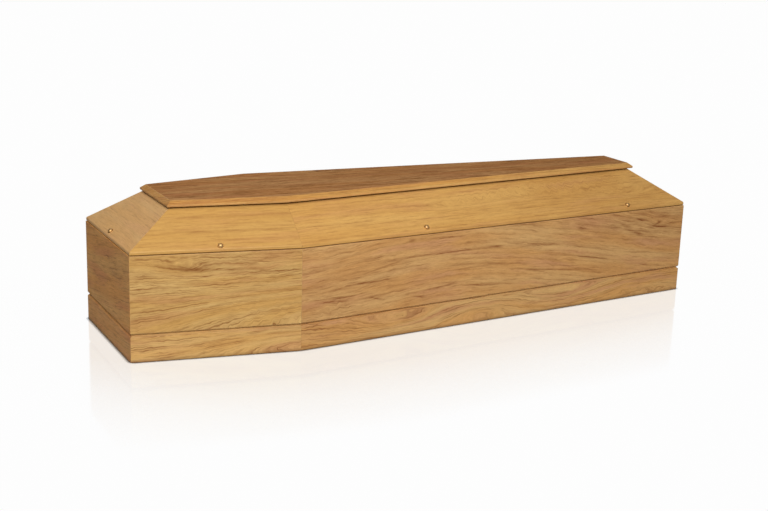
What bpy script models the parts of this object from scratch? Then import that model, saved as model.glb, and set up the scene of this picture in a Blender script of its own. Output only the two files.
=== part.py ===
"""Six-sided oak coffin with a sloping lid, closed. Metres, +Z up, head end at -X.

The origin is on the ground under the middle of the coffin. Right and left are those of someone
lying on their back inside, so the right side is at -Y.
"""

import math

import bmesh
import bpy
from mathutils import Matrix, Vector

# Plan of the outside faces
LENGTH = 2.000
SHOULDER_FROM_HEAD = 0.494
HEAD_WIDTH = 0.458
SHOULDER_WIDTH = 0.626
FOOT_WIDTH = 0.406

# Body
RIM_HEIGHT_HEAD = 0.3145
RIM_HEIGHT_FOOT = 0.304
BASE_HEIGHT = 0.080
WALL_THICKNESS = 0.022
FLOOR_THICKNESS = 0.018
GROOVE_DEPTH = 0.0055

# Lid
LID_THICKNESS = 0.018
LID_INSET = 0.0015
LID_EDGE_HEIGHT = 0.0115
LID_CHAMFER = 0.003
LID_EASE = 0.002
SIDE_PITCH = math.radians(37.0)
HEAD_PITCH = math.radians(32.0)
FOOT_PITCH = math.radians(33.5)

# Top plate, whose rise is measured from the rim at the head end to its underside
PLATE_RISE = 0.1085
PLATE_THICKNESS = 0.018
PLATE_OVERHANG = 0.012
PLATE_OVERHANG_FOOT = 0.022
PLATE_LIP = 0.0065
PLATE_BEVEL = 0.015

# Domed caps, measured up the slope from the lid's lower arris and along it from a corner
CAP_UP_SLOPE = 0.0145
SHOULDER_CAP_UP_SLOPE = 0.0105
SHOULDER_CAP_FROM_HEAD = 0.260
MIDDLE_CAP_FROM_SHOULDER = 0.440
FOOT_CAP_FROM_FOOT = 0.250
CAP_FLANGE_RADIUS = 0.009
CAP_FLANGE_THICKNESS = 0.0012
CAP_DOME_RADIUS = 0.0075
CAP_DOME_HEIGHT = 0.0058
CAP_PLUG_RADIUS = 0.003
CAP_PLUG_LENGTH = 0.010
CAP_SEGMENTS = 24
DOME_STEPS = 4

# Fits and finish
JOINT_GAP = 0.0003
ARRIS = 0.0006
SHARP_ANGLE = math.radians(40.0)

# Points closer than this are one point
SAME_POINT = 1e-6

UP = Vector((0, 0, 1))


def clear_scene():
    for obj in list(bpy.data.objects):
        bpy.data.objects.remove(obj, do_unlink=True)


def make_material(name, colour, roughness, metallic=0.0):
    material = bpy.data.materials.new(name)
    material.use_nodes = True
    shader = material.node_tree.nodes["Principled BSDF"]
    shader.inputs["Base Color"].default_value = (*colour, 1.0)
    shader.inputs["Roughness"].default_value = roughness
    shader.inputs["Metallic"].default_value = metallic
    return material


def make_empty(name, location):
    empty = bpy.data.objects.new(name, None)
    empty.location = location
    bpy.context.scene.collection.objects.link(empty)
    return empty


def plan_corners(inset=0.0):
    """The outline's corners, counter-clockwise from the head end's right, each edge moved in by inset."""
    half = LENGTH / 2
    shoulder = -half + SHOULDER_FROM_HEAD
    corners = [
        Vector((-half, -HEAD_WIDTH / 2, 0)),
        Vector((shoulder, -SHOULDER_WIDTH / 2, 0)),
        Vector((half, -FOOT_WIDTH / 2, 0)),
        Vector((half, FOOT_WIDTH / 2, 0)),
        Vector((shoulder, SHOULDER_WIDTH / 2, 0)),
        Vector((-half, HEAD_WIDTH / 2, 0)),
    ]
    if inset == 0.0:
        return corners
    moved = []
    for i, corner in enumerate(corners):
        before = outward_of(corners[i - 1], corner)
        after = outward_of(corner, corners[(i + 1) % len(corners)])
        moved.append(corner - inset * (before + after) / (1 + before.dot(after)))
    return moved


def outward_of(start, end):
    """The level direction that points out of the edge from start to end."""
    along = end - start
    return Vector((along.y, -along.x, 0)).normalized()


def rim_height(x):
    """Height of the joint between body and lid, which falls towards the foot."""
    share = (x + LENGTH / 2) / LENGTH
    return RIM_HEIGHT_HEAD + share * (RIM_HEIGHT_FOOT - RIM_HEIGHT_HEAD)


def rim_normal():
    return Vector((RIM_HEIGHT_HEAD - RIM_HEIGHT_FOOT, 0, LENGTH)).normalized()


def plate_underside():
    return RIM_HEIGHT_HEAD + PLATE_RISE


class Side:
    """One of the six sides: its corners, its outward direction and the mitres at its ends."""

    names = ("right_shoulder", "right_side", "foot", "left_side", "left_shoulder", "head")
    pitches = (SIDE_PITCH, SIDE_PITCH, FOOT_PITCH, SIDE_PITCH, SIDE_PITCH, HEAD_PITCH)

    def __init__(self, index, inset=0.0):
        corners = plan_corners(inset)
        self.index = index
        self.inset = inset
        self.name = self.names[index]
        self.start = corners[index]
        self.end = corners[(index + 1) % len(corners)]
        self.along = (self.end - self.start).normalized()
        self.outward = outward_of(self.start, self.end)

    def neighbour(self, step):
        return Side((self.index + step) % len(self.names), self.inset)

    def middle(self):
        return (self.start + self.end) / 2

    def wall_mitres(self):
        """(point, outward normal) of the upright planes that halve the corners."""
        before = self.neighbour(-1).outward + self.outward
        after = self.outward + self.neighbour(1).outward
        at_start = before.cross(UP).normalized()
        at_end = -after.cross(UP).normalized()
        return self.shut_mitres(at_start, at_end)

    def shut_mitres(self, at_start, at_end):
        """Turns both normals out of the board and moves the planes in by half the joint's gap."""
        at_start *= math.copysign(1, -at_start.dot(self.along))
        at_end *= math.copysign(1, at_end.dot(self.along))
        half = JOINT_GAP / 2
        return [(self.start - half * at_start, at_start), (self.end - half * at_end, at_end)]

    def arris(self, corner):
        """The point of the lid's lower arris above a corner of the plan."""
        return Vector((corner.x, corner.y, rim_height(corner.x) + LID_EDGE_HEIGHT))

    def slope_normal(self):
        """Outward normal of the lid board that rises from this side's arris."""
        run = (self.arris(self.end) - self.arris(self.start)).normalized()
        pitch = self.pitches[self.index]
        rise = math.cos(pitch) * -self.outward + math.sin(pitch) * UP
        return run.cross(rise).normalized()

    def point_on_slope(self, from_start, up_slope):
        """A point of the lid board's outer face."""
        run = (self.arris(self.end) - self.arris(self.start)).normalized()
        rise = self.slope_normal().cross(run)
        return self.arris(self.start) + from_start * run + up_slope * rise

    def slope_mitres(self):
        """(point, outward normal) of the upright planes through the lid's hips."""
        normals = []
        for step in (-1, 1):
            hip = self.slope_normal().cross(self.neighbour(step).slope_normal())
            normals.append(Vector((hip.x, hip.y, 0)).cross(UP).normalized())
        return self.shut_mitres(*normals)

    def level_at(self, height):
        """(point, outward level direction) of the slope's line at a height."""
        normal = self.slope_normal()
        rise = normal.cross((self.arris(self.end) - self.arris(self.start)).normalized())
        start = self.arris(self.start)
        point = start + rise * (height - start.z) / rise.z
        return point, Vector((normal.x, normal.y, 0)).normalized()


def clip(bm, point, outward):
    """Cuts away what lies beyond the plane and closes the cut."""
    everything = bm.verts[:] + bm.edges[:] + bm.faces[:]
    bmesh.ops.bisect_plane(
        bm, geom=everything, dist=SAME_POINT, plane_co=point, plane_no=outward, clear_outer=True
    )
    cut = [edge for edge in bm.edges if edge.is_boundary]
    if cut:
        bmesh.ops.holes_fill(bm, edges=cut)


def make_board(name, planes, origin, parent, material):
    """A flat-sided board: the space inside all the planes, with its arrises just broken."""
    bm = bmesh.new()
    bmesh.ops.create_cube(bm, size=2 * LENGTH)
    for point, outward in planes:
        clip(bm, point, outward)
    bmesh.ops.translate(bm, verts=bm.verts[:], vec=-origin)
    bmesh.ops.bevel(
        bm, geom=bm.edges[:], offset=ARRIS, segments=1, profile=0.5, affect="EDGES", material=-1
    )
    bmesh.ops.recalc_face_normals(bm, faces=bm.faces[:])
    return add_object(name, bm, origin, parent, material)


def add_object(name, bm, origin, parent, material):
    mesh = bpy.data.meshes.new(name)
    bm.to_mesh(mesh)
    bm.free()
    mesh.materials.append(material)
    obj = bpy.data.objects.new(name, mesh)
    obj.parent = parent
    obj.location = origin - parent.location
    bpy.context.scene.collection.objects.link(obj)
    return obj


def chamfer(side, level, depth, facing):
    """(point, outward normal) of the 45 degree plane that takes depth off an outer arris.

    The level is a point of the board's top or bottom face, whose outward normal is facing."""
    corner = side.start - UP * (side.start - level).dot(facing) / facing.z
    normal = (side.outward + facing).normalized()
    return corner - depth * facing, normal


def upright_planes(side, thickness):
    return [
        (side.start, side.outward),
        (side.start - thickness * side.outward, -side.outward),
    ]


def make_base_boards(parent, material):
    """The boards between the ground and the groove."""
    for index in range(len(Side.names)):
        side = Side(index)
        top = Vector((0, 0, BASE_HEIGHT - JOINT_GAP / 2))
        planes = upright_planes(side, WALL_THICKNESS) + side.wall_mitres()
        planes += [(Vector(), -UP), (top, UP), chamfer(side, top, GROOVE_DEPTH, UP)]
        make_board("base_" + side.name, planes, side.middle(), parent, material)


def make_wall_boards(parent, material):
    """The boards between the groove and the lid, flush with the base boards."""
    for index in range(len(Side.names)):
        side = Side(index)
        bottom = Vector((0, 0, BASE_HEIGHT + JOINT_GAP / 2))
        top = Vector((0, 0, rim_height(0)))
        planes = upright_planes(side, WALL_THICKNESS) + side.wall_mitres()
        planes += [(bottom, -UP), chamfer(side, bottom, GROOVE_DEPTH, -UP)]
        planes.append((top, rim_normal()))
        origin = side.middle() + bottom
        make_board("wall_" + side.name, planes, origin, parent, material)


def make_floor_board(parent, material):
    """The floor, inside the base boards."""
    inset = WALL_THICKNESS + JOINT_GAP
    sides = [Side(index, inset) for index in range(len(Side.names))]
    planes = [(side.start, side.outward) for side in sides]
    planes += [(Vector(), -UP), (Vector((0, 0, FLOOR_THICKNESS)), UP)]
    make_board("floor_board", planes, Vector(), parent, material)


def make_lid_boards(parent, material):
    """The sloping boards, which rest on the rim and carry the plate."""
    boards = {}
    for index in range(len(Side.names)):
        side = Side(index, LID_INSET)
        slope = side.slope_normal()
        outer = side.arris(side.start)
        bottom = Vector((0, 0, rim_height(0) + JOINT_GAP))
        top = Vector((0, 0, plate_underside() - JOINT_GAP))
        planes = [(outer, slope), (outer - LID_THICKNESS * slope, -slope)]
        planes += [(side.start, side.outward), (bottom, -rim_normal()), (top, UP)]
        planes += [chamfer(side, bottom, LID_CHAMFER, -rim_normal())] + side.slope_mitres()
        eased = (slope + side.outward).normalized()
        planes.append((outer - LID_EASE * eased, eased))
        origin = (side.arris(side.start) + side.arris(side.end)) / 2
        boards[side.name] = make_board("lid_" + side.name, planes, origin, parent, material)
    return boards


def make_top_plate(parent, material):
    """The flat plate over the slopes' upper edges: a small upright lip under a bevel."""
    bottom = Vector((0, 0, plate_underside()))
    rise = PLATE_THICKNESS - PLATE_LIP
    planes = [(bottom, -UP), (bottom + PLATE_THICKNESS * UP, UP)]
    for index in range(len(Side.names)):
        side = Side(index, LID_INSET)
        point, outward = side.level_at(bottom.z)
        overhang = PLATE_OVERHANG_FOOT if side.name == "foot" else PLATE_OVERHANG
        edge = point + overhang * outward
        planes.append((edge, outward))
        planes.append((edge + PLATE_LIP * UP, (rise * outward + PLATE_BEVEL * UP).normalized()))
    make_board("lid_top_plate", planes, bottom, parent, material)


def cap_profile():
    """Half outline of a cap in the XZ plane, from the plug's end up to the top of the dome."""
    points = [(0, -CAP_PLUG_LENGTH), (CAP_PLUG_RADIUS, -CAP_PLUG_LENGTH)]
    points += [(CAP_PLUG_RADIUS, JOINT_GAP), (CAP_FLANGE_RADIUS, JOINT_GAP)]
    points += [(CAP_FLANGE_RADIUS, JOINT_GAP + CAP_FLANGE_THICKNESS / 2)]
    shoulder = JOINT_GAP + CAP_FLANGE_THICKNESS
    for step in range(DOME_STEPS + 1):
        angle = math.pi / 2 * step / DOME_STEPS
        points.append(
            (CAP_DOME_RADIUS * math.cos(angle), shoulder + CAP_DOME_HEIGHT * math.sin(angle))
        )
    return [Vector((x, 0, z)) for x, z in points]


def make_cap(name, position, axis, parent, material):
    """A domed cap with a flange and a plug, turned on its own axis."""
    bm = bmesh.new()
    verts = [bm.verts.new(point) for point in cap_profile()]
    edges = [bm.edges.new(pair) for pair in zip(verts, verts[1:])]
    bmesh.ops.spin(
        bm, geom=verts + edges, cent=Vector(), axis=UP, angle=2 * math.pi,
        steps=CAP_SEGMENTS, use_merge=True,
    )
    bmesh.ops.remove_doubles(bm, verts=bm.verts[:], dist=SAME_POINT)
    bmesh.ops.recalc_face_normals(bm, faces=bm.faces[:])
    cap = add_object(name, bm, position, parent, material)
    cap.rotation_euler = axis.to_track_quat("Z", "Y").to_euler()
    cap.data.shade_smooth()
    cap.data.set_sharp_from_angle(angle=SHARP_ANGLE)


def bore_board(board, name, position, axis, parent, material):
    """Cuts the blind hole that a cap's plug sits in."""
    bm = bmesh.new()
    depth = 2 * (CAP_PLUG_LENGTH + JOINT_GAP)
    radius = CAP_PLUG_RADIUS + JOINT_GAP
    bmesh.ops.create_cone(
        bm, cap_ends=True, segments=CAP_SEGMENTS, radius1=radius, radius2=radius, depth=depth
    )
    cutter = add_object("bore_" + name, bm, position, parent, material)
    cutter.rotation_euler = axis.to_track_quat("Z", "Y").to_euler()
    cutter.hide_render = True
    cutter.display_type = "WIRE"
    cut = board.modifiers.new("bore_" + name, "BOOLEAN")
    cut.operation = "DIFFERENCE"
    cut.object = cutter


def cap_places():
    """(name, side, distance along the lid's arris from that side's start) of each cap."""
    sides = {name: Side(index, LID_INSET) for index, name in enumerate(Side.names)}
    span = {name: (side.end - side.start).length for name, side in sides.items()}
    yield "cap_head", sides["head"], span["head"] / 2
    yield "cap_foot", sides["foot"], span["foot"] / 2
    yield "cap_right_shoulder", sides["right_shoulder"], SHOULDER_CAP_FROM_HEAD
    yield "cap_left_shoulder", sides["left_shoulder"], span["left_shoulder"] - SHOULDER_CAP_FROM_HEAD
    yield "cap_right_middle", sides["right_side"], MIDDLE_CAP_FROM_SHOULDER
    yield "cap_left_middle", sides["left_side"], span["left_side"] - MIDDLE_CAP_FROM_SHOULDER
    yield "cap_right_foot", sides["right_side"], span["right_side"] - FOOT_CAP_FROM_FOOT
    yield "cap_left_foot", sides["left_side"], FOOT_CAP_FROM_FOOT


def make_caps(boards, parent, material):
    for name, side, from_start in cap_places():
        up_slope = SHOULDER_CAP_UP_SLOPE if "shoulder" in name else CAP_UP_SLOPE
        position = side.point_on_slope(from_start, up_slope)
        axis = side.slope_normal()
        bore_board(boards[side.name], name, position, axis, parent, material)
        make_cap(name, position, axis, parent, material)


def main():
    clear_scene()
    wall_oak = make_material("wall_oak", (0.46, 0.25, 0.10), 0.42)
    base_oak = make_material("base_oak", (0.47, 0.25, 0.09), 0.42)
    lid_oak = make_material("lid_oak", (0.56, 0.33, 0.12), 0.40)
    plate_oak = make_material("plate_oak", (0.42, 0.22, 0.08), 0.38)
    floor_oak = make_material("floor_oak", (0.45, 0.28, 0.14), 0.60)
    brass = make_material("brass", (0.72, 0.50, 0.20), 0.28, metallic=1.0)
    body = make_empty("body", Vector())
    lid = make_empty("lid", Vector((0, 0, rim_height(0))))
    make_floor_board(body, floor_oak)
    make_base_boards(body, base_oak)
    make_wall_boards(body, wall_oak)
    boards = make_lid_boards(lid, lid_oak)
    make_top_plate(lid, plate_oak)
    make_caps(boards, lid, brass)


main()
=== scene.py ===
import math

import bmesh
import bpy
from mathutils import Matrix, Vector


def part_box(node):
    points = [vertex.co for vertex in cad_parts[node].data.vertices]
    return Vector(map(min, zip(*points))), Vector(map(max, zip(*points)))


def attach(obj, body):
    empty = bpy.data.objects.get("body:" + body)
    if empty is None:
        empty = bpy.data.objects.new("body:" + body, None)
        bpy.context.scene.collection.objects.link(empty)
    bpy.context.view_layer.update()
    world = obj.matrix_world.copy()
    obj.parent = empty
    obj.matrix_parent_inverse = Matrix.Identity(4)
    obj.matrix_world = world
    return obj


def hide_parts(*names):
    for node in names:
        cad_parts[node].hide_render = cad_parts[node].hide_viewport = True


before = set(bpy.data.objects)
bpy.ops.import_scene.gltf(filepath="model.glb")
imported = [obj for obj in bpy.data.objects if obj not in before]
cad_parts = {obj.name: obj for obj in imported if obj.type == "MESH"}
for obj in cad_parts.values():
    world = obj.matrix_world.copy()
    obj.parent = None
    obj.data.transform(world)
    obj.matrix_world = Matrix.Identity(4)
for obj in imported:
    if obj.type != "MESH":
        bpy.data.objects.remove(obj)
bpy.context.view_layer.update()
upright = Vector((0, 0, 1))
samePoint = 1e-5   # points closer than this are one point


# Small helpers

# One shader node. Inputs are sockets to link or plain values, by name or number.
def put(tree, kind, inputs=None, **settings):
    made = tree.nodes.new(kind)
    for name, value in settings.items():
        setattr(made, name, value)
    for name, value in (inputs or {}).items():
        if isinstance(value, bpy.types.NodeSocket):
            tree.links.new(value, made.inputs[name])
        else:
            made.inputs[name].default_value = value
    return made


def sums(tree, operation, first, second=0.0, third=0.0):
    made = put(tree, "ShaderNodeMath", {0: first, 1: second, 2: third}, operation=operation)
    return made.outputs[0]


def vectorSums(tree, operation, first, second=(0, 0, 0)):
    made = put(tree, "ShaderNodeVectorMath", {0: first, 1: second}, operation=operation)
    return made.outputs[1 if operation in ("DOT_PRODUCT", "LENGTH") else 0]


# Noise around zero, from -0.5 to 0.5, over a stretched copy of the vector
def noise(tree, vector, stretch, detail=2.0, roughness=0.5):
    stretched = vectorSums(tree, "MULTIPLY", vector, stretch)
    made = put(
        tree, "ShaderNodeTexNoise",
        {"Vector": stretched, "Scale": 1.0, "Detail": detail, "Roughness": roughness},
    )
    return sums(tree, "SUBTRACT", made.outputs["Fac"], 0.5)


def mapRange(tree, value, low, high, toLow=0.0, toHigh=1.0):
    made = put(
        tree, "ShaderNodeMapRange",
        {"Value": value, "From Min": low, "From Max": high, "To Min": toLow, "To Max": toHigh},
        interpolation_type="SMOOTHSTEP",
    )
    return made.outputs[0]


def mixColours(tree, factor, first, second, blend="MIX"):
    made = put(
        tree, "ShaderNodeMix", {0: factor, 6: first, 7: second},
        data_type="RGBA", blend_type=blend,
    )
    return made.outputs[2]


def newGroup(name, inputs, outputs):
    group = bpy.data.node_groups.new(name, "ShaderNodeTree")
    kinds = {"value": "NodeSocketFloat", "vector": "NodeSocketVector", "colour": "NodeSocketColor"}
    for label, kind in inputs.items():
        group.interface.new_socket(label, in_out="INPUT", socket_type=kinds[kind])
    for label, kind in outputs.items():
        group.interface.new_socket(label, in_out="OUTPUT", socket_type=kinds[kind])
    return group, group.nodes.new("NodeGroupInput").outputs, group.nodes.new("NodeGroupOutput").inputs


def srgb(red, green, blue):
    def linear(value):
        share = value / 255
        return share / 12.92 if share <= 0.04045 else ((share + 0.055) / 1.055) ** 2.4
    return (linear(red), linear(green), linear(blue), 1.0)


# A soft hump on a board, round or drawn out along a tilted line. It bends the grain round it
# or stains it, and with a short period it ripples like waves along the board.
swell = {
    "noWaves": 1e4,                      # a period too long to show, in metres
    "shortPeriod": (0.1, 0.2),           # shorter waves run unevenly, longer ones evenly
    "unevenWaves": 14.0,
    "waveStretch": (11.0, 30.0, 20.0),
    "crestLean": 0.35,
}


def makeSwellGroup():
    group, given, out = newGroup(
        "grainSwell",
        {
            "Vector": "vector", "Centre": "vector", "Size": "vector", "Tilt": "value",
            "Period": "value", "Skew": "value", "Height": "value",
        },
        {"Rise": "value"},
    )
    away = vectorSums(group, "SUBTRACT", given["Vector"], given["Centre"])
    parts = put(group, "ShaderNodeSeparateXYZ", {0: away}).outputs
    across = sums(group, "SUBTRACT", parts["Y"], sums(group, "MULTIPLY", parts["X"], given["Tilt"]))
    level = put(group, "ShaderNodeCombineXYZ", {"X": parts["X"], "Y": across}).outputs[0]
    level = vectorSums(group, "DIVIDE", level, given["Size"])
    square = vectorSums(group, "DOT_PRODUCT", level, level)
    bell = sums(group, "EXPONENT", sums(group, "MULTIPLY", square, -1.0))
    turn = sums(group, "MULTIPLY_ADD", parts["Y"], given["Skew"], parts["X"])
    turn = sums(group, "MULTIPLY", sums(group, "DIVIDE", turn, given["Period"]), 2 * math.pi)
    hurry = mapRange(group, given["Period"], *swell["shortPeriod"], swell["unevenWaves"], 0.0)
    stray = noise(group, given["Vector"], swell["waveStretch"])
    turn = sums(group, "MULTIPLY_ADD", stray, hurry, turn)
    # A second wave, twice as quick, makes each crest lean
    wave = sums(group, "COSINE", turn)
    lean = sums(group, "SINE", sums(group, "MULTIPLY", turn, 2.0))
    wave = sums(group, "MULTIPLY_ADD", lean, swell["crestLean"], wave)
    rise = sums(group, "MULTIPLY", sums(group, "MULTIPLY", bell, wave), given["Height"])
    group.links.new(rise, out["Rise"])
    return group


# Oak in board space: x along the grain, y across it, z out of the face, in metres.
# The grain follows the level lines of a height that rises across the board, so rings,
# streaks, pores and clouds are all drawn over (x, height).
grain = {
    "ringTilt": 3.0,                      # rings a millimetre deep show this many wide
    "wanderStretch": (1.6, 5.0, 12.0),    # slow bends
    "flameStretch": (15.0, 26.0, 24.0),   # short waves
    "toothStretch": (46.0, 60.0, 40.0),   # zigzags where the rings are cut flat
    "combStretch": (30.0, 420.0, 60.0),   # torn edges of the rings
    "combHeight": 0.003,
    "ringSwings": 0.37, "ringUneven": 2.2, "ringContrast": 0.8,
    # A ring pales at the first rate after its dark start, and the one before it darkens at the second
    "earlyFade": 3.2, "earlyStart": 8.0,
    "fadeStretch": (10.0, 60.0, 10.0), "fadeRange": (-0.14, 0.16), "fadeLeast": 0.1,
    "smokeStretch": (4.5, 66.0, 20.0),
    "dashStretch": (18.0, 250.0, 60.0),
    "threadStretch": (40.0, 620.0, 160.0),
    "cloudStretch": (2.2, 17.0, 9.0),
    "roseStretch": (3.4, 26.0, 9.0),
    "poreStretch": (90.0, 1500.0, 400.0),
    "raysStretch": (90.0, 130.0, 160.0),
    # What each adds to the darkness
    "dashRange": (0.02, 0.2), "dashDark": 0.36, "hazeRange": (-0.22, -0.04), "hazeDark": 0.16,
    "smokeDark": 0.45, "threadDark": 0.6, "raysDark": 0.2, "poreDark": 0.15,
    "poreRange": (0.04, 0.2), "poreInEarly": 0.7,
    "stainTorn": 1.8, "stainEven": 0.9,
    # Where the warm and the rose tone lie
    "cloudRange": (-0.16, 0.16), "roseRange": (-0.02, 0.22),
    # The sheen and the relief
    "roughness": 0.42, "dashRough": 0.2, "poreRough": 0.15,
    "poreDeep": 0.8, "threadDeep": 0.6, "ringDeep": 0.35,
    "bump": 0.3, "bumpDepth": 0.0005,
    "shiftShares": (1.0, 0.7, 0.3),       # each board's shift along, across and into the wood
}


def makeOakGroup():
    group, given, out = newGroup(
        "oakGrain",
        {
            "Vector": "vector", "Shift": "vector", "Rise": "value", "Stain": "value",
            "Spacing": "value", "Lean": "value", "Wander": "value", "Flame": "value",
            "Tooth": "value", "Lines": "value", "Streaks": "value",
            "Pale": "colour", "Warm": "colour", "Rose": "colour", "Dark": "colour",
        },
        {"Color": "colour", "Roughness": "value", "Height": "value"},
    )
    place = put(group, "ShaderNodeSeparateXYZ", {0: given["Vector"]}).outputs
    domain = vectorSums(group, "ADD", given["Vector"], given["Shift"])
    wander = noise(group, domain, grain["wanderStretch"])
    flame = noise(group, domain, grain["flameStretch"])

    height = sums(group, "MULTIPLY_ADD", place["X"], given["Lean"], place["Y"])
    height = sums(group, "MULTIPLY_ADD", place["Z"], grain["ringTilt"], height)
    height = sums(group, "ADD", height, given["Rise"])
    height = sums(group, "MULTIPLY_ADD", wander, given["Wander"], height)
    height = sums(group, "MULTIPLY_ADD", flame, given["Flame"], height)
    tooth = noise(group, domain, grain["toothStretch"], 1.0)
    height = sums(group, "MULTIPLY_ADD", tooth, given["Tooth"], height)
    flow = put(group, "ShaderNodeCombineXYZ", {"X": place["X"], "Y": height, "Z": place["Z"]}).outputs[0]
    flow = vectorSums(group, "ADD", flow, given["Shift"])

    comb = noise(group, flow, grain["combStretch"])
    combed = sums(group, "MULTIPLY_ADD", comb, grain["combHeight"], height)
    ring = sums(group, "DIVIDE", combed, given["Spacing"])
    swings = sums(group, "MULTIPLY", ring, grain["ringSwings"])
    uneven = put(
        group, "ShaderNodeTexNoise", {"W": swings, "Scale": 1.0}, noise_dimensions="1D"
    ).outputs["Fac"]
    ring = sums(group, "MULTIPLY_ADD", uneven, grain["ringUneven"], ring)
    share = sums(group, "FRACT", ring)
    strength = put(
        group, "ShaderNodeTexWhiteNoise", {"W": sums(group, "FLOOR", ring)}, noise_dimensions="1D"
    ).outputs["Value"]

    # Open early wood starts sharply and fades into the late wood
    early = sums(group, "EXPONENT", sums(group, "MULTIPLY", share, -grain["earlyFade"]))
    start = grain["earlyStart"]
    before = sums(group, "EXPONENT", sums(group, "MULTIPLY_ADD", share, start, -start))
    early = sums(group, "ADD", before, early)
    fade = noise(group, flow, grain["fadeStretch"])
    fade = mapRange(group, fade, *grain["fadeRange"], grain["fadeLeast"])
    contrast = grain["ringContrast"]
    strength = sums(group, "MULTIPLY_ADD", strength, contrast, 1.0 - contrast)
    line = sums(group, "MULTIPLY", sums(group, "MULTIPLY", early, strength), fade)

    smoke = noise(group, flow, grain["smokeStretch"])
    dash = noise(group, flow, grain["dashStretch"], 3.0, 0.6)
    thread = noise(group, flow, grain["threadStretch"], 2.0, 0.6)
    pore = mapRange(group, noise(group, flow, grain["poreStretch"], 1.0), *grain["poreRange"])
    inEarly = sums(group, "MULTIPLY_ADD", early, grain["poreInEarly"], 1.0 - grain["poreInEarly"])
    pore = sums(group, "MULTIPLY", pore, inEarly)
    rays = noise(group, domain, grain["raysStretch"])

    streak = sums(group, "MULTIPLY", mapRange(group, dash, *grain["dashRange"]), grain["dashDark"])
    haze = mapRange(group, dash, *grain["hazeRange"])
    parts = ((haze, "hazeDark"), (smoke, "smokeDark"), (thread, "threadDark"), (rays, "raysDark"))
    for part, weight in parts:
        streak = sums(group, "MULTIPLY_ADD", part, grain[weight], streak)

    cloud = mapRange(group, noise(group, flow, grain["cloudStretch"]), *grain["cloudRange"])
    rose = mapRange(group, noise(group, flow, grain["roseStretch"]), *grain["roseRange"])
    colour = mixColours(group, cloud, given["Pale"], given["Warm"])
    colour = mixColours(group, rose, colour, given["Rose"])
    darkness = sums(group, "MULTIPLY", line, given["Lines"])
    darkness = sums(group, "MULTIPLY_ADD", streak, given["Streaks"], darkness)
    torn = sums(group, "MULTIPLY_ADD", dash, grain["stainTorn"], grain["stainEven"])
    darkness = sums(group, "MULTIPLY_ADD", given["Stain"], torn, darkness)
    darkness = sums(group, "MULTIPLY_ADD", pore, grain["poreDark"], darkness)
    darkness = put(group, "ShaderNodeClamp", {0: darkness}).outputs[0]
    group.links.new(mixColours(group, darkness, colour, given["Dark"]), out["Color"])

    rough = sums(group, "MULTIPLY_ADD", dash, grain["dashRough"], grain["roughness"])
    rough = sums(group, "MULTIPLY_ADD", pore, grain["poreRough"], rough)
    group.links.new(rough, out["Roughness"])
    relief = sums(group, "MULTIPLY", thread, -grain["threadDeep"])
    relief = sums(group, "MULTIPLY_ADD", pore, -grain["poreDeep"], relief)
    relief = sums(group, "MULTIPLY_ADD", line, -grain["ringDeep"], relief)
    group.links.new(relief, out["Height"])
    return group


# What years of handling do: arrises rub pale. Painted shade darkens the joints, the chamfers, the crease
# under the plate's lip and the foot on the floor, made patchy like dirt.
wearAndShade = {
    "speckStretch": (90.0, 90.0, 90.0),
    "rubbed": srgb(232, 190, 132), "rubSpeck": 0.9, "rubRange": (0.72, 1.1),
    "paintedShade": srgb(84, 40, 8), "shadeSpeck": 0.5,
}


def makeWearAndShadeGroup():
    group, given, out = newGroup(
        "boardWearAndShade",
        {
            "Color": "colour", "Vector": "vector", "Arris": "value", "Seam": "value",
            "Rub": "value", "ShadeStrength": "value",
        },
        {"Color": "colour"},
    )
    speck = noise(group, given["Vector"], wearAndShade["speckStretch"], 3.0, 0.6)
    rubbed = sums(group, "MULTIPLY_ADD", speck, wearAndShade["rubSpeck"], given["Arris"])
    rubbed = sums(group, "MULTIPLY", mapRange(group, rubbed, *wearAndShade["rubRange"]), given["Rub"])
    colour = mixColours(group, rubbed, given["Color"], wearAndShade["rubbed"])
    patchy = sums(group, "MULTIPLY_ADD", speck, wearAndShade["shadeSpeck"], 1.0)
    shaded = sums(group, "MULTIPLY", sums(group, "MULTIPLY", given["Seam"], patchy), given["ShadeStrength"])
    shaded = put(group, "ShaderNodeClamp", {0: shaded}).outputs[0]
    group.links.new(mixColours(group, shaded, colour, wearAndShade["paintedShade"]), out["Color"])
    return group


swellGroup = makeSwellGroup()
oakGroup = makeOakGroup()
wearAndShadeGroup = makeWearAndShadeGroup()
print("grain and wear ready")


# Boards
boardSet = {
    "blank": 4.0,                            # the cube that each board is cut from
    "longFace": 0.015, "wideFace": 0.0013,   # smaller CAD faces are only broken arrises or bores
    "arris": 0.0007, "mitreArris": 0.0003, "arrisSteps": 2,
    "lidRound": 0.0032, "headRound": 0.003, "lidRoundSteps": 6,
    "lipFoot": 0.0022, "lipFootSteps": 3, "lidChamferLess": 0.0002,
    "rubbedBand": 0.005, "narrow": 0.012,    # strips narrower than this are all arris
    # How far the painted shade reaches and how strong it is: under the plate's lip and at its foot, along
    # the floor, at the walls' top joint and on the lid's under-chamfer
    "lipShade": 0.009, "lipShadeCuts": (0.25, 0.6, 1.0), "lipFootShade": 0.003,
    "contactShade": 0.010, "contactShadeStrength": 1.8, "jointShade": 0.002, "noseShade": 0.6,
    "normalWeight": 100,
}
# How faces are told apart, by limits on the parts of their normals
facing = {
    "side": 0.4, "outward": 0.2, "mitre": 0.3,
    "easedEdge": (0.3, 0.6), "lidChamfer": (-0.8, -0.5), "grooveChamfer": (0.5, 0.9),
    "lidTop": 0.7, "plateTop": 0.95, "underside": -0.9, "level": 0.02, "noseFold": 0.75,
}
sharpFold = math.radians(25)
flatFold = math.radians(0.5)
samePlane = {"facing": 0.9999, "height": 1e-4}   # faces this alike lie in one plane
lidFootLevel = {"chamfer": 0.33, "nose": 0.34}   # the lid's lower edge lies below these
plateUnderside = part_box("lid_top_plate")[0][2]


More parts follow.
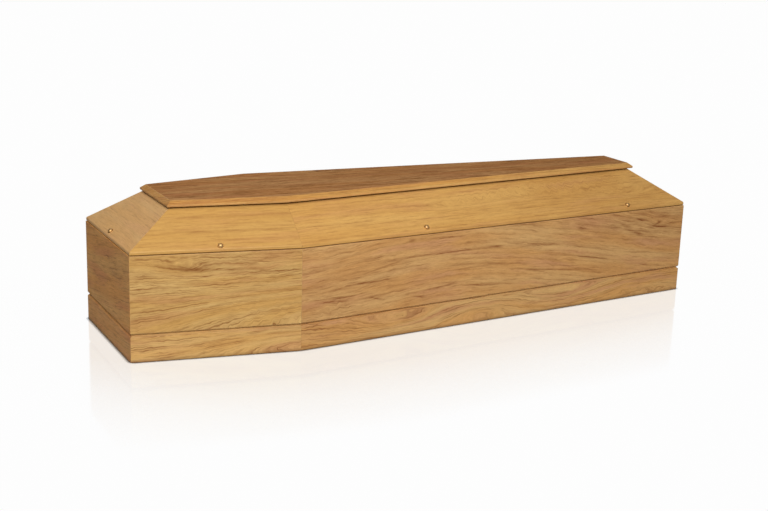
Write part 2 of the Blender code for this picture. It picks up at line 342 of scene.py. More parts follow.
# The board's own axes, taken from its CAD solid: along, up the face and out of it
def boardAxes(node):
    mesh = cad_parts[node].data
    if node in ("lid_top_plate", "floor_board"):
        out = upright.copy()
        along = Vector((1, 0, 0))
    else:
        faces = [
            f for f in mesh.polygons
            if f.normal.dot(Vector((f.center.x, f.center.y, facing["outward"]))) > 0
        ]
        if "side" in node or "shoulder" in node:
            sign = -1 if "right" in node else 1
            faces = [f for f in faces if f.normal.y * sign > facing["side"]]
        out = max(faces, key=lambda face: face.area).normal.copy()
        along = upright.cross(out).normalized()
    up = out.cross(along).normalized()
    points = [v.co for v in mesh.vertices]
    corner = (
        min(p.dot(along) for p in points) * along
        + min(p.dot(up) for p in points) * up
        + max(p.dot(out) for p in points) * out
    )
    return corner, Matrix((along, up, out)).transposed()


def between(value, limits):
    return limits[0] < value < limits[1]


# The flat faces of a CAD board, each as a point and an outward normal
def boardPlanes(node):
    bm = bmesh.new()
    bm.from_mesh(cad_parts[node].data)
    bmesh.ops.remove_doubles(bm, verts=bm.verts[:], dist=samePoint)
    bmesh.ops.dissolve_limit(bm, angle_limit=flatFold, verts=bm.verts[:], edges=bm.edges[:])
    sloping = node.startswith("lid_") and node != "lid_top_plate"
    planes = []
    for face in sorted(bm.faces, key=lambda one: -one.calc_area()):
        longest = max(edge.calc_length() for edge in face.edges)
        if longest < boardSet["longFace"] or face.calc_area() / longest < boardSet["wideFace"]:
            continue
        middle, normal = face.calc_center_median(), face.normal.copy()
        known = any(
            normal.dot(n) > samePlane["facing"] and abs((middle - m).dot(n)) < samePlane["height"]
            for m, n in planes
        )
        if known or sloping and between(normal.z, facing["easedEdge"]):
            continue
        chamfer = sloping and between(normal.z, facing["lidChamfer"]) and middle.z < lidFootLevel["chamfer"]
        if chamfer and normal.dot(Vector((middle.x, middle.y, 0))) > 0:
            middle += boardSet["lidChamferLess"] * normal
        planes.append((middle, normal))
    bm.free()
    return planes


def cutLevel(bm, point, normal, clear=False):
    bmesh.ops.bisect_plane(
        bm, geom=bm.verts[:] + bm.edges[:] + bm.faces[:], dist=samePoint,
        plane_co=point, plane_no=normal, clear_outer=clear,
    )


def bevelEdges(bm, edges, offset, steps):
    if edges:
        bmesh.ops.bevel(
            bm, geom=edges, offset=offset, segments=steps, profile=0.5, affect="EDGES",
            material=-1, clamp_overlap=True,
        )
        bm.normal_update()


def sharpEdges(bm):
    return [edge for edge in bm.edges if edge.calc_face_angle(0.0) > sharpFold]


# The space inside the planes, with its arrises rounded
def shapeBoard(node, along):
    bm = bmesh.new()
    bmesh.ops.create_cube(bm, size=boardSet["blank"])
    for point, outward in boardPlanes(node):
        cutLevel(bm, point, outward, clear=True)
        hole = [edge for edge in bm.edges if edge.is_boundary]
        if hole:
            bmesh.ops.holes_fill(bm, edges=hole)
    bm.normal_update()
    mitred = node not in ("lid_top_plate", "floor_board")

    def isMitre(face):
        return mitred and abs(face.normal.dot(along)) > facing["mitre"]

    # The lower edge of a sloping lid board
    def isNose(edge):
        faces = edge.link_faces
        return (
            max(f.normal.z for f in faces) > facing["lidTop"]
            and min(abs(f.normal.z) for f in faces) < facing["level"]
            and not any(isMitre(f) for f in faces)
            and abs(faces[0].normal.dot(faces[1].normal)) < facing["noseFold"]
            and min(f.calc_center_median().z for f in faces) < lidFootLevel["nose"]
        )

    if mitred and node.startswith("lid_"):
        rounding = boardSet["headRound" if node == "lid_head" else "lidRound"]
        bevelEdges(bm, [edge for edge in bm.edges if isNose(edge)], rounding, boardSet["lidRoundSteps"])
    if node == "lid_top_plate":
        foot = [
            edge for edge in sharpEdges(bm)
            if min(f.normal.z for f in edge.link_faces) < facing["underside"]
        ]
        bevelEdges(bm, foot, boardSet["lipFoot"], boardSet["lipFootSteps"])
    arrises = [edge for edge in sharpEdges(bm) if not any(isMitre(f) for f in edge.link_faces)]
    bevelEdges(bm, arrises, boardSet["arris"], boardSet["arrisSteps"])
    bevelEdges(bm, sharpEdges(bm), boardSet["mitreArris"], 1)
    bmesh.ops.remove_doubles(bm, verts=bm.verts[:], dist=samePoint)
    bmesh.ops.dissolve_degenerate(bm, edges=bm.edges[:], dist=samePoint)
    bm.normal_update()
    return bm, isMitre


# A face's width, if it is taken as a strip as long as its longest side
def widthOf(face):
    return face.calc_area() / max(samePoint, *(edge.calc_length() for edge in face.edges))


# The height of the walls' top edge, which falls in a straight line from the head to the foot
def rimLine():
    points = [v.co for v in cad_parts["wall_right_side"].data.vertices]
    low, high = min(p.x for p in points), max(p.x for p in points)
    near = 0.03   # the points this close to an end belong to it
    head = max(p.z for p in points if p.x < low + near)
    foot = max(p.z for p in points if p.x > high - near)
    return lambda x: head + (x - low) / (high - low) * (foot - head)


rimHeight = rimLine()


# How deep a point of a board lies in painted shade, which stands in for the shade in joints and chamfers,
# under the plate's lip and at the floor: 1 in a joint, falling to 0 a little way off it
def shadeMaskAt(kind, point, faces):
    def near(distance, reach):
        return max(0.0, 1.0 - distance / boardSet[reach])

    if kind == "base":
        chamfered = any(
            between(abs(f.normal.z), facing["grooveChamfer"]) and widthOf(f) < boardSet["narrow"]
            for f in faces
        )
        return max(float(chamfered), near(point.z, "contactShade") * boardSet["contactShadeStrength"])
    if kind == "wall":
        return near(rimHeight(point.x) - point.z, "jointShade")
    if kind == "lid":
        nose = any(f.normal.z < facing["lidChamfer"][1] for f in faces)
        return max(near(plateUnderside - point.z, "lipShade"), boardSet["noseShade"] * nose)
    if kind == "plate":
        return near(point.z - plateUnderside, "lipFootShade")
    return 0.0


# Extra edges where the painted shade ends, so that it fades over the right distance
def cutShades(bm, kind):
    if kind == "lid":
        for share in boardSet["lipShadeCuts"]:
            cutLevel(bm, upright * (plateUnderside - share * boardSet["lipShade"]), upright)
    elif kind == "plate":
        cutLevel(bm, upright * (plateUnderside + boardSet["lipFootShade"]), upright)
    elif kind == "wall":
        slope = Vector((rimHeight(0) - rimHeight(1), 0, 1)).normalized()
        cutLevel(bm, upright * (rimHeight(0) - boardSet["jointShade"]), slope)
    elif kind == "base":
        cutLevel(bm, upright * boardSet["contactShade"], upright)


def makeBoard(node):
    corner, turn = boardAxes(node)
    bm, isMitre = shapeBoard(node, turn.col[0])
    kind = "plate" if node == "lid_top_plate" else node.split("_")[0]
    cutShades(bm, kind)
    arris = bm.verts.layers.float.new("arris")
    # Each point's share of painted shade, which the material reads
    seam = bm.verts.layers.float.new("seam")
    wide = [face for face in bm.faces if widthOf(face) > boardSet["narrow"] and not isMitre(face)]
    for vert in bm.verts:
        vert[arris] = 1.0
        vert[seam] = shadeMaskAt(kind, vert.co, vert.link_faces)
    known = set(bm.verts)
    bmesh.ops.inset_individual(bm, faces=wide, thickness=boardSet["rubbedBand"], depth=0.0)
    for vert in bm.verts:
        if vert not in known:
            vert[arris] = 0.0
            vert[seam] = shadeMaskAt(kind, vert.co, [])
    bmesh.ops.recalc_face_normals(bm, faces=bm.faces[:])
    for face in bm.faces:
        face.smooth = True
    mesh = bpy.data.meshes.new(node + "_board")
    bm.to_mesh(mesh)
    bm.free()
    board = bpy.data.objects.new(node + "_board", mesh)
    bpy.context.scene.collection.objects.link(board)
    soften = board.modifiers.new("soften", "WEIGHTED_NORMAL")
    soften.keep_sharp = False
    soften.weight = boardSet["normalWeight"]
    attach(board, "root")
    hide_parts(node)
    return board, corner, turn


# Grain
oakTones = {
    "pale": srgb(218, 174, 112),
    "warm": srgb(212, 160, 96),
    "rose": srgb(212, 160, 108),
    "dark": srgb(132, 75, 37),
}

plainFigure = {
    "shift": 0.0, "spacing": 0.014, "lean": 0.0, "wander": 0.04, "flame": 0.012, "tooth": 0.004,
    "lines": 0.5, "streaks": 0.9, "swells": [], "stains": [], "tones": {},
    # How pale the arrises rub, how strongly the painted shade darkens, and the gloss
    "rub": 0.05, "paintedShade": 0.1, "gloss": 0.2,
}


# Each board's own figure, where it isn't the plain one. Swells and stains are humps, written as
# (centre, size, height, {tilt, period, skew}), in metres along and up the board.
figures = {
    "wall_right_shoulder": {
        "shift": 3.0, "spacing": 0.0095, "lean": 0.02, "wander": 0.02, "flame": 0.009, "tooth": 0.010,
        "lines": 1.05, "streaks": 0.8, "rub": 0.3,
        "swells": [
            ((0.60, 0.036), (0.44, 0.08), -0.18, {"tilt": 0.04}),
            ((0.40, 0.060), (0.14, 0.05), 0.0035, {"period": 0.030, "skew": -0.7}),
            ((0.16, 0.19), (0.07, 0.022), 0.018, {"tilt": -0.2}),
            ((0.39, 0.195), (0.04, 0.02), 0.008, {"tilt": 0.1}),
        ],
        "stains": [
            ((0.14, 0.195), (0.045, 0.011), 0.34, {"tilt": -0.15}),
            ((0.18, 0.186), (0.035, 0.007), 0.3, {"tilt": -0.2}),
            ((0.24, 0.184), (0.055, 0.0045), 0.38, {"tilt": -0.03}),
            ((0.32, 0.181), (0.05, 0.004), 0.2, {}),
            ((0.21, 0.205), (0.02, 0.005), 0.28, {"tilt": 0.1}),
            ((0.375, 0.204), (0.022, 0.004), 0.32, {"tilt": 0.3}),
            ((0.39, 0.174), (0.022, 0.004), 0.34, {"tilt": -0.15}),
            ((0.31, 0.168), (0.04, 0.004), 0.18, {"tilt": -0.1}),
            ((0.42, 0.04), (0.22, 0.08), -0.08, {}), ((0.27, 0.20), (0.3, 0.04), 0.1, {}),
        ],
        "tones": {
            "pale": srgb(217, 178, 112), "warm": srgb(210, 164, 94), "rose": srgb(208, 160, 100),
            "dark": srgb(132, 79, 35),
        },
    },
    "wall_right_side": {
        "shift": 7.0, "spacing": 0.016, "lean": 0.0, "wander": 0.03, "flame": 0.012,
        "streaks": 0.8, "lines": 0.5, "rub": 0.2,
        "swells": [
            ((0.56, 0.14), (0.42, 0.3), -0.045, {}),
            ((1.65, 0.15), (0.55, 0.4), 0.11, {}),
            ((1.40, 0.168), (0.05, 0.016), 0.014, {"tilt": -0.1}),
            ((0.10, 0.03), (0.05, 0.02), 0.006, {"period": 0.05}),
        ],
        "stains": [
            ((0.12, 0.067), (0.07, 0.003), 0.5, {}), ((0.11, 0.057), (0.03, 0.003), 0.4, {}),
            ((0.23, 0.102), (0.07, 0.0035), 0.5, {}), ((0.25, 0.09), (0.025, 0.007), 0.25, {}),
            ((0.26, 0.047), (0.02, 0.003), 0.5, {"tilt": -0.25}),
            ((0.41, 0.035), (0.02, 0.003), 0.4, {"tilt": -0.2}),
            ((0.50, 0.056), (0.11, 0.0028), 0.4, {"tilt": 0.08}),
            ((0.65, 0.043), (0.06, 0.0045), 0.45, {"tilt": -0.04}),
            ((0.29, 0.147), (0.075, 0.0028), 0.5, {"tilt": 0.2}),
            ((0.53, 0.164), (0.2, 0.0028), 0.42, {}),
            ((0.70, 0.163), (0.03, 0.004), 0.3, {"tilt": -0.2}),
            ((0.88, 0.15), (0.09, 0.005), 0.5, {"tilt": -0.08}),
            ((0.52, 0.213), (0.09, 0.003), 0.4, {"tilt": -0.05}),
            ((0.38, 0.218), (0.012, 0.006), 0.5, {}), ((0.62, 0.105), (0.09, 0.003), 0.3, {}),
            ((0.80, 0.225), (0.07, 0.0025), 0.55, {}),
            ((1.05, 0.188), (0.018, 0.006), 0.45, {"tilt": -0.2}),
            ((1.25, 0.173), (0.022, 0.0045), 0.55, {"tilt": -0.2}),
            ((1.31, 0.142), (0.025, 0.006), 0.55, {"tilt": -0.3}),
            ((1.32, 0.19), (0.03, 0.0045), 0.45, {"tilt": -0.15}),
            ((1.41, 0.158), (0.04, 0.0035), 0.7, {"tilt": -0.1}),
            ((1.395, 0.172), (0.018, 0.004), 0.5, {"tilt": 0.3}),
            ((0.86, 0.066), (0.03, 0.004), 0.55, {"tilt": -0.2}),
            ((0.97, 0.055), (0.13, 0.0028), 0.4, {"tilt": -0.13}),
            ((1.10, 0.082), (0.09, 0.003), 0.4, {"tilt": -0.2}),
            ((1.08, 0.043), (0.06, 0.004), 0.35, {"tilt": -0.2}),
            ((1.46, 0.19), (0.42, 0.085), 0.22, {"tilt": -0.06}), ((0.02, 0.08), (0.3, 0.16), 0.17, {}),
        ],
        "tones": {
            "pale": srgb(222, 176, 114), "warm": srgb(216, 162, 98), "rose": srgb(214, 160, 108),
        },
    },
    "base_right_shoulder": {
        "shift": 21.0, "spacing": 0.006, "wander": 0.012, "flame": 0.006, "tooth": 0.007,
        "lines": 1.0, "streaks": 0.7, "paintedShade": 0.28,
        "swells": [((0.55, 0.022), (0.26, 0.04), -0.09, {})],
        "tones": {"pale": srgb(226, 184, 116), "warm": srgb(220, 171, 100), "rose": srgb(216, 166, 108)},
    },
    "base_right_side": {
        "shift": 17.0, "spacing": 0.010, "wander": 0.02, "flame": 0.016, "tooth": 0.010,
        "lines": 0.85, "streaks": 0.6, "paintedShade": 0.28,
        "swells": [
            ((0.34, 0.050), (0.16, 0.03), 0.045, {}), ((0.66, 0.030), (0.14, 0.03), -0.045, {}),
            ((0.98, 0.060), (0.17, 0.035), 0.045, {}), ((1.35, 0.030), (0.20, 0.03), -0.03, {}),
        ],
        "stains": [((0.04, 0.04), (0.32, 0.2), 0.08, {})],
        "tones": {"pale": srgb(226, 182, 118), "warm": srgb(222, 168, 100), "rose": srgb(216, 162, 110)},
    },
    "lid_right_shoulder": {
        "shift": 31.0, "spacing": 0.014, "wander": 0.008, "flame": 0.003, "tooth": 0.001,
        "lines": 0.36, "streaks": 0.65,
        "stains": [
            ((0.28, 0.072), (0.3, 0.004), 0.25, {}), ((0.2, 0.036), (0.3, 0.003), 0.2, {}),
            ((0.3, 0.125), (0.3, 0.006), 0.1, {}),
        ],
        "tones": {"pale": srgb(210, 164, 92), "warm": srgb(204, 156, 84), "rose": srgb(206, 156, 90)},
        "paintedShade": 0.9, "rub": 0.0,
    },
    "lid_right_side": {
        "shift": 37.0, "spacing": 0.013, "wander": 0.02, "flame": 0.006, "tooth": 0.004,
        "lines": 0.45, "streaks": 0.66,
        "swells": [
            ((0.95, 0.13), (0.28, 0.03), 0.005, {"period": 0.032, "skew": -0.6}),
            ((0.62, 0.10), (0.20, 0.02), 0.02, {"tilt": 0.04}),
            ((1.30, 0.07), (0.25, 0.03), 0.03, {"tilt": -0.05}),
        ],
        "stains": [((1.2, 0.08), (0.35, 0.2), 0.1, {})],
        "tones": {"pale": srgb(220, 172, 98), "warm": srgb(212, 161, 88), "rose": srgb(212, 160, 94)},
        "paintedShade": 0.9, "rub": 0.0,
    },
    # The head slope's paler, less saturated tones are a painted sheen
    "lid_head": {
        "shift": 41.0, "spacing": 0.02, "wander": 0.02, "flame": 0.004, "lines": 0.25, "streaks": 0.6,
        "tones": {"pale": srgb(222, 178, 118), "warm": srgb(220, 172, 110), "rose": srgb(220, 170, 114)},
        "paintedShade": 0.25, "rub": 0.1,
    },
    "wall_head": {
        "shift": 43.0, "spacing": 0.012, "lean": -0.17, "wander": 0.02, "flame": 0.008, "lines": 0.42,
        "stains": [
            ((0.33, 0.15), (0.09, 0.012), 0.22, {"tilt": 0.1}), ((0.35, 0.18), (0.1, 0.015), 0.15, {}),
            ((0.05, 0.1), (0.03, 0.09), -0.15, {}),
        ],
        "tones": {"pale": srgb(230, 174, 101), "warm": srgb(226, 161, 86), "rose": srgb(222, 153, 91)},
    },
    "base_head": {
        "shift": 47.0, "lean": -0.1, "spacing": 0.012, "lines": 0.45, "paintedShade": 0.2,
        "tones": {"pale": srgb(230, 174, 106), "warm": srgb(226, 162, 90), "rose": srgb(222, 154, 95)},
    },
}
hiddenFigure = {
    "floor": {"shift": 90.0, "spacing": 0.02, "streaks": 0.8, "lines": 0.4},
    "lid": {"lines": 0.3, "streaks": 0.55, "tones": figures["lid_right_side"]["tones"]},
    "shift": 11.0, "shiftStep": 5.3, "spacing": 0.012, "spacingStep": 0.002, "spacings": 3,
    "hump": (0.35, 0.08), "humpSize": (0.34, 0.05), "humpHigh": 0.045, "humpStep": 0.17, "humpPlaces": 5,
    "bowl": (0.5, 0.16), "bowlSize": (0.3, 0.08), "bowlDeep": 0.03,
}


# Boards that the photo doesn't show get a quieter figure, each its own
def quietFigure(node, index):
    values = hiddenFigure
    if node.startswith("floor"):
        return values["floor"]
    along, across = values["hump"]
    along += values["humpStep"] * (index % values["humpPlaces"])
    beyond, above = values["bowl"]
    figure = {
        "shift": values["shift"] + values["shiftStep"] * index,
        "spacing": values["spacing"] + values["spacingStep"] * (index % values["spacings"]),
        "swells": [
            ((along, across), values["humpSize"], values["humpHigh"], {}),
            ((along + beyond, above), values["bowlSize"], -values["bowlDeep"], {}),
        ],
    }
    return {**figure, **values["lid"]} if node.startswith("lid") else figure


# The heights of a board's humps, added up
def heap(tree, board, humps):
    total = None
    for centre, size, height, extra in humps:
        hump = put(tree, "ShaderNodeGroup", node_tree=swellGroup)
        tree.links.new(board, hump.inputs["Vector"])
        values = {
            "Centre": (*centre, 0.0), "Size": (*size, 1.0), "Height": height,
            "Tilt": extra.get("tilt", 0.0), "Period": extra.get("period", swell["noWaves"]),
            "Skew": extra.get("skew", 0.0),
        }
        for label, value in values.items():
            hump.inputs[label].default_value = value
        total = hump.outputs[0] if total is None else sums(tree, "ADD", total, hump.outputs[0])
    return total


def makeOak(name, corner, turn, figure):
    values = {**plainFigure, **figure}
    tones = {**oakTones, **values["tones"]}
    material = bpy.data.materials.new(name)
    material.use_nodes = True
    tree = material.node_tree
    shader = tree.nodes["Principled BSDF"]
    place = put(tree, "ShaderNodeTexCoord").outputs["Object"]
    board = put(
        tree, "ShaderNodeMapping",
        {"Vector": place, "Location": corner, "Rotation": turn.to_euler()},
        vector_type="TEXTURE",
    ).outputs[0]

    oak = put(tree, "ShaderNodeGroup", node_tree=oakGroup)
    tree.links.new(board, oak.inputs["Vector"])
    for label, humps in (("Rise", values["swells"]), ("Stain", values["stains"])):
        total = heap(tree, board, humps)
        if total is not None:
            tree.links.new(total, oak.inputs[label])
    oak.inputs["Shift"].default_value = [values["shift"] * share for share in grain["shiftShares"]]
    for label in ("Spacing", "Lean", "Wander", "Flame", "Tooth", "Lines", "Streaks"):
        oak.inputs[label].default_value = values[label.lower()]
    for label in ("Pale", "Warm", "Rose", "Dark"):
        oak.inputs[label].default_value = tones[label.lower()]

    wornAndShaded = put(tree, "ShaderNodeGroup", node_tree=wearAndShadeGroup)
    tree.links.new(oak.outputs["Color"], wornAndShaded.inputs["Color"])
    tree.links.new(board, wornAndShaded.inputs["Vector"])
    # The rubbed arrises, and the painted shade of the joints, the lip and the floor line
    for label in ("Arris", "Seam"):
        spread = put(tree, "ShaderNodeAttribute", attribute_name=label.lower()).outputs["Fac"]
        tree.links.new(spread, wornAndShaded.inputs[label])
    wornAndShaded.inputs["Rub"].default_value = values["rub"]
    wornAndShaded.inputs["ShadeStrength"].default_value = values["paintedShade"]
    tree.links.new(wornAndShaded.outputs["Color"], shader.inputs["Base Color"])
    tree.links.new(oak.outputs["Roughness"], shader.inputs["Roughness"])
    bump = put(
        tree, "ShaderNodeBump",
        {"Strength": grain["bump"], "Distance": grain["bumpDepth"], "Height": oak.outputs["Height"]},
    )
    tree.links.new(bump.outputs[0], shader.inputs["Normal"])
    shader.inputs["Specular IOR Level"].default_value = values["gloss"]
    return material


# The top plate: its flat top takes darker, browner tones than its rim, painted shade for the weaker light
# on the flat top, and a bevelled rim as yellow as the lid
plateFigure = {
    "top": {
        "gloss": 0.0, "shift": 53.0, "spacing": 0.016, "wander": 0.03, "flame": 0.012, "tooth": 0.006,
        "lines": 0.75, "streaks": 1.4,
        "swells": [((0.75, 0.30), (0.5, 0.06), 0.08, {}), ((1.3, 0.25), (0.35, 0.05), 0.05, {})],
        "tones": {
            "pale": srgb(200, 150, 98), "warm": srgb(190, 134, 82), "rose": srgb(188, 130, 84),
            "dark": srgb(98, 56, 26),
        },
    },
    "rim": {
        "shift": 59.0, "spacing": 0.008, "wander": 0.02, "flame": 0.008, "tooth": 0.006,
        "lines": 0.8, "streaks": 1.2, "paintedShade": 0.55, "rub": 0.2,
        "stains": [((1.1, 0.0), (0.6, 0.6), -0.18, {}), ((0.1, 0.0), (0.3, 0.6), 0.06, {})],
        "tones": {"pale": srgb(214, 166, 94), "warm": srgb(208, 152, 80), "rose": srgb(206, 150, 86)},
    },
}


def makeBoards():
    for index, node in enumerate(sorted(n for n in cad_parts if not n.startswith("cap_"))):
        board, corner, turn = makeBoard(node)
        if node == "lid_top_plate":
            board.data.materials.append(makeOak("oak_plate_top", corner, turn, plateFigure["top"]))
            board.data.materials.append(makeOak("oak_plate_rim", corner, turn, plateFigure["rim"]))
            # The flat top faces take the darker material: painted shade
            for face in board.data.polygons:
                face.material_index = 0 if face.normal.z > facing["plateTop"] else 1
            continue
        figure = figures.get(node) or quietFigure(node, index)
        board.data.materials.append(makeOak("oak_" + node, corner, turn, figure))


makeBoards()
print("boards finished")


# Caps: a dull brass dome on a thin rounded flange; the flange and the dome's foot are darkened, painted
# shade where the cap meets the board
capSet = {
    "steps": 48, "flange": 0.009, "flangeThick": 0.0012, "flangeEase": 0.0002, "flangeSteps": 4,
    "flangeRound": 0.6,   # the share of the flange's thickness that its round takes
    "dome": 0.0075, "domeHigh": 0.0058, "domeSteps": 8, "foot": 0.0005, "crease": math.radians(50),
    "bright": (0.84, 0.54, 0.24, 1.0), "dull": (0.74, 0.45, 0.18, 1.0),
    "tarnishStretch": (500.0, 500.0, 500.0), "tarnishRange": (-0.2, 0.25), "roughness": (0.56, 0.64),
    "footShade": (0.42, 0.23, 0.07, 1.0), "footShadeStrength": 0.75,
}
capBoards = {
    "cap_head": "lid_head", "cap_foot": "lid_foot",
    "cap_right_shoulder": "lid_right_shoulder", "cap_left_shoulder": "lid_left_shoulder",
    "cap_right_middle": "lid_right_side", "cap_right_foot": "lid_right_side",
    "cap_left_middle": "lid_left_side", "cap_left_foot": "lid_left_side",
}


def makeBrass():
    material = bpy.data.materials.new("brass")
    material.use_nodes = True
    tree = material.node_tree
    shader = tree.nodes["Principled BSDF"]
    place = put(tree, "ShaderNodeTexCoord").outputs["Object"]
    tarnish = noise(tree, place, capSet["tarnishStretch"], 3.0)
    tarnish = mapRange(tree, tarnish, *capSet["tarnishRange"])
    colour = mixColours(tree, tarnish, capSet["bright"], capSet["dull"])
    # Painted shade on the flange and the foot of the dome
    footShade = put(tree, "ShaderNodeAttribute", attribute_name="footShade").outputs["Fac"]
    footShade = sums(tree, "MULTIPLY", footShade, capSet["footShadeStrength"])
    colour = mixColours(tree, footShade, colour, capSet["footShade"])
    tree.links.new(colour, shader.inputs["Base Color"])
    roughness = mapRange(tree, tarnish, 0.0, 1.0, *capSet["roughness"])
    tree.links.new(roughness, shader.inputs["Roughness"])
    shader.inputs["Metallic"].default_value = 1.0
    return material


# Half of a cap's section, from its axis out and up, as (across, up)
def capOutline():
    thick, flange, dome = capSet["flangeThick"], capSet["flange"], capSet["dome"]
    easing = thick * capSet["flangeRound"]
    outline = [(0.0, -capSet["foot"]), (flange - capSet["flangeEase"], -capSet["foot"]), (flange, 0.0)]
    for step in range(capSet["flangeSteps"] + 1):
        angle = math.pi / 2 * step / capSet["flangeSteps"]
        outline.append((
            flange - easing * (1 - math.cos(angle)),
            thick - easing + easing * math.sin(angle),
        ))
    for step in range(capSet["domeSteps"] + 1):
        angle = math.pi / 2 * step / capSet["domeSteps"]
        outline.append((dome * math.cos(angle), thick + capSet["domeHigh"] * math.sin(angle)))
    return outline


def makeCap(node, brass):
    bm = bmesh.new()
    verts = [bm.verts.new((across, 0.0, up)) for across, up in capOutline()]
    edges = [bm.edges.new(pair) for pair in zip(verts, verts[1:])]
    bmesh.ops.spin(
        bm, geom=verts + edges, cent=Vector(), axis=upright, angle=2 * math.pi,
        steps=capSet["steps"], use_merge=True,
    )
    bmesh.ops.remove_doubles(bm, verts=bm.verts[:], dist=samePoint)
    bmesh.ops.recalc_face_normals(bm, faces=bm.faces[:])
    # The flange and the dome's foot take painted shade
    footShade = bm.verts.layers.float.new("footShade")
    for vert in bm.verts:
        vert[footShade] = 1.0 if vert.co.z < capSet["flangeThick"] + samePoint else 0.0
    for face in bm.faces:
        face.smooth = True

    # Its place: upright on its board, as high as the CAD cap
    axis = boardAxes(capBoards[node])[1].col[2]
    points = [v.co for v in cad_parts[node].data.vertices]
    middle = sum(points, Vector()) / len(points)
    top = max(p.dot(axis) for p in points)
    rise = capSet["flangeThick"] + capSet["domeHigh"]
    seat = middle + (top - rise - middle.dot(axis)) * axis
    place = Matrix.Translation(seat) @ axis.to_track_quat("Z", "Y").to_matrix().to_4x4()
    bmesh.ops.transform(bm, matrix=place, verts=bm.verts[:])
    mesh = bpy.data.meshes.new(node + "_dome")
    bm.to_mesh(mesh)
    bm.free()
    mesh.set_sharp_from_angle(angle=capSet["crease"])
    mesh.materials.append(brass)
    cap = bpy.data.objects.new(node + "_dome", mesh)
    bpy.context.scene.collection.objects.link(cap)
    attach(cap, "root")
    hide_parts(node)


brass = makeBrass()
for node in capBoards:
    makeCap(node, brass)
print("caps finished")


# Stage
stageSet = {
    "white": 0.985, "floorBounce": 0.25, "floorSize": 60.0, "filmHeight": 0.001, "filmSize": 8.0,
    "mirror": (0.16, 0.215, 0.265, 1.0),   # its strength in red, green and blue
    "mirrorRoughness": 0.08, "mirrorReach": 0.66,
    "mirrorRange": (1.0, 0.8),             # how open the floor is where the mirror is nil and full
    # The painted contact shadow: its colour, how far it reaches and its range
    "contactShadow": (0.06, 0.035, 0.01, 1.0), "contactReach": 0.018, "contactRange": (0.9, 0.58),
    "rays": 8,
}
black = (0.0, 0.0, 0.0, 1.0)


def makeStagePlane(name, size, height):
    bm = bmesh.new()
    bmesh.ops.create_grid(bm, x_segments=1, y_segments=1, size=size / 2)
    bmesh.ops.translate(bm, verts=bm.verts[:], vec=(0, 0, height))
    mesh = bpy.data.meshes.new(name)
    bm.to_mesh(mesh)
    bm.free()
    plane = bpy.data.objects.new(name, mesh)
    bpy.context.scene.collection.objects.link(plane)
    material = bpy.data.materials.new(name)
    material.use_nodes = True
    material.node_tree.nodes.clear()
    mesh.materials.append(material)
    return plane, material.node_tree


# A clear film just over the floor, so that the world can tell a reflection in the floor,
# which shows white, from one in the wood
def makeFilm():
    film, tree = makeStagePlane("studio_film", stageSet["filmSize"], stageSet["filmHeight"])
    film.visible_shadow = False
    clear = put(tree, "ShaderNodeBsdfTransparent").outputs[0]
    put(tree, "ShaderNodeOutputMaterial", {"Surface": clear})


# How open the floor is within some distance: 1 away from the coffin, about a half beside it
def openness(tree, reach):
    return put(
        tree, "ShaderNodeAmbientOcclusion", {"Distance": reach}, samples=stageSet["rays"]
    ).outputs["AO"]


# The floor as the camera sees it: white, with a weak reflection near the coffin and a painted contact
# shadow, a thin dark line where it stands. Other rays meet a plain grey floor.
def makeFloor():
    tree = makeStagePlane("studio_floor", stageSet["floorSize"], 0.0)[1]
    rays = put(tree, "ShaderNodeLightPath").outputs
    white = (stageSet["white"],) * 3 + (1.0,)
    share = mapRange(tree, openness(tree, stageSet["mirrorReach"]), *stageSet["mirrorRange"])
    # Painted contact shadow: the floor darkens where little is open nearby
    contactShadow = mapRange(tree, openness(tree, stageSet["contactReach"]), *stageSet["contactRange"])
    tone = mixColours(tree, contactShadow, white, stageSet["contactShadow"])
    # What the mirror shows is taken off the white. It takes the most blue, so the wood stays warm.
    mirrored = mixColours(tree, share, black, stageSet["mirror"])
    left = put(tree, "ShaderNodeInvert", {"Color": mirrored}).outputs[0]
    tone = mixColours(tree, 1.0, tone, left, "MULTIPLY")
    seen = put(tree, "ShaderNodeEmission", {"Color": tone, "Strength": 1.0}).outputs[0]
    mirror = put(
        tree, "ShaderNodeBsdfAnisotropic",
        {"Color": mirrored, "Roughness": stageSet["mirrorRoughness"]},
    ).outputs[0]
    seen = put(tree, "ShaderNodeAddShader", {0: seen, 1: mirror}).outputs[0]
    grey = (stageSet["floorBounce"],) * 3 + (1.0,)
    lit = put(tree, "ShaderNodeBsdfDiffuse", {"Color": grey}).outputs[0]
    both = put(tree, "ShaderNodeMixShader", {0: rays["Is Camera Ray"], 1: lit, 2: seen}).outputs[0]
    put(tree, "ShaderNodeOutputMaterial", {"Surface": both})


# A white room: full white to the camera and in the floor, softer as light, faint in the wood's gloss.
# Each range of heights goes with its own pair of strengths, from low to high.
worldSet = {
    "seen": 0.985, "fill": (0.52, 0.14), "fillHeights": (0.05, 0.75),
    "gloss": (0.03, 0.1), "glossHeights": (0.2, 0.6),
}


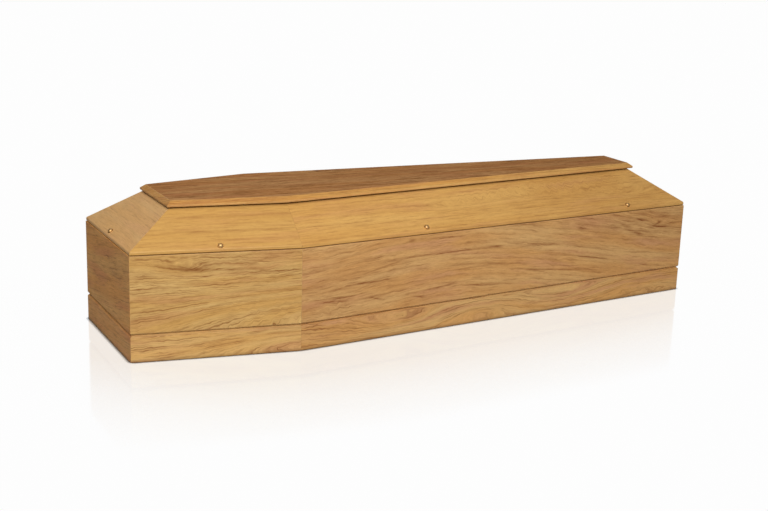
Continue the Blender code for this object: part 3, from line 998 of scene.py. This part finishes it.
def makeWorld():
    world = bpy.data.worlds.new("studio")
    bpy.context.scene.world = world
    world.use_nodes = True
    tree = world.node_tree
    tree.nodes.clear()
    rays = put(tree, "ShaderNodeLightPath").outputs
    where = put(tree, "ShaderNodeTexCoord").outputs["Generated"]
    up = put(tree, "ShaderNodeSeparateXYZ", {0: where}).outputs["Z"]

    def glow(strength):
        white = (1.0, 1.0, 1.0, 1.0)
        return put(tree, "ShaderNodeBackground", {"Color": white, "Strength": strength}).outputs[0]

    def choose(share, first, second):
        return put(tree, "ShaderNodeMixShader", {0: share, 1: first, 2: second}).outputs[0]

    fill = glow(mapRange(tree, up, *worldSet["fillHeights"], *worldSet["fill"]))
    gloss = glow(mapRange(tree, up, *worldSet["glossHeights"], *worldSet["gloss"]))
    seen = glow(worldSet["seen"])
    offFloor = sums(tree, "GREATER_THAN", rays["Transparent Depth"], 0.5)
    soft = choose(rays["Is Glossy Ray"], fill, choose(offFloor, gloss, seen))
    both = choose(rays["Is Camera Ray"], soft, seen)
    put(tree, "ShaderNodeOutputWorld", {"Surface": both})


# Azimuth runs from -Y towards -X in degrees, and the size is width by height
lamps = {
    "key": {
        "azimuth": 26, "elevation": 38, "distance": 5.5, "size": (2.8, 1.2), "power": 274, "glossy": True,
    },
    "back": {
        "azimuth": 190, "elevation": 18, "distance": 5.5, "size": (3.0, 2.0), "power": 60, "glossy": False,
    },
}
lampTarget = Vector((-0.1, -0.1, 0.25))


def makeLamps():
    for name, values in lamps.items():
        data = bpy.data.lights.new(name, "AREA")
        data.energy = values["power"]
        data.shape = "RECTANGLE"
        data.size, data.size_y = values["size"]
        azimuth, elevation = math.radians(values["azimuth"]), math.radians(values["elevation"])
        away = Vector((
            -math.sin(azimuth) * math.cos(elevation),
            -math.cos(azimuth) * math.cos(elevation),
            math.sin(elevation),
        ))
        lamp = bpy.data.objects.new(name, data)
        bpy.context.scene.collection.objects.link(lamp)
        lamp.location = lampTarget + values["distance"] * away
        lamp.rotation_euler = (-away).to_track_quat("-Z", "Y").to_euler()
        lamp.visible_camera = False
        lamp.visible_glossy = values["glossy"]


# The angles are in degrees, and the yaw runs from +Y towards +X
cameraSet = {
    "place": (-2.014, -3.6919, 1.2886), "yaw": 27.731, "pitch": 14.981, "roll": 1.85, "lens": 61.45,
}


def makeCamera():
    yaw, pitch, roll = (math.radians(cameraSet[key]) for key in ("yaw", "pitch", "roll"))
    ahead = Vector((math.cos(pitch) * math.sin(yaw), math.cos(pitch) * math.cos(yaw), -math.sin(pitch)))
    right = Vector((math.cos(yaw), -math.sin(yaw), 0))
    above = right.cross(ahead)
    turnedRight = math.cos(roll) * right + math.sin(roll) * above
    turnedUp = math.cos(roll) * above - math.sin(roll) * right
    data = bpy.data.cameras.new("camera")
    data.lens = cameraSet["lens"]
    camera = bpy.data.objects.new("camera", data)
    bpy.context.scene.collection.objects.link(camera)
    camera.matrix_world = (
        Matrix.Translation(cameraSet["place"])
        @ Matrix((turnedRight, turnedUp, -ahead)).transposed().to_4x4()
    )
    bpy.context.scene.camera = camera


makeFloor()
makeFilm()
makeWorld()
makeLamps()
makeCamera()
bpy.context.scene.view_settings.view_transform = "Standard"
print("floor, lights and camera placed")
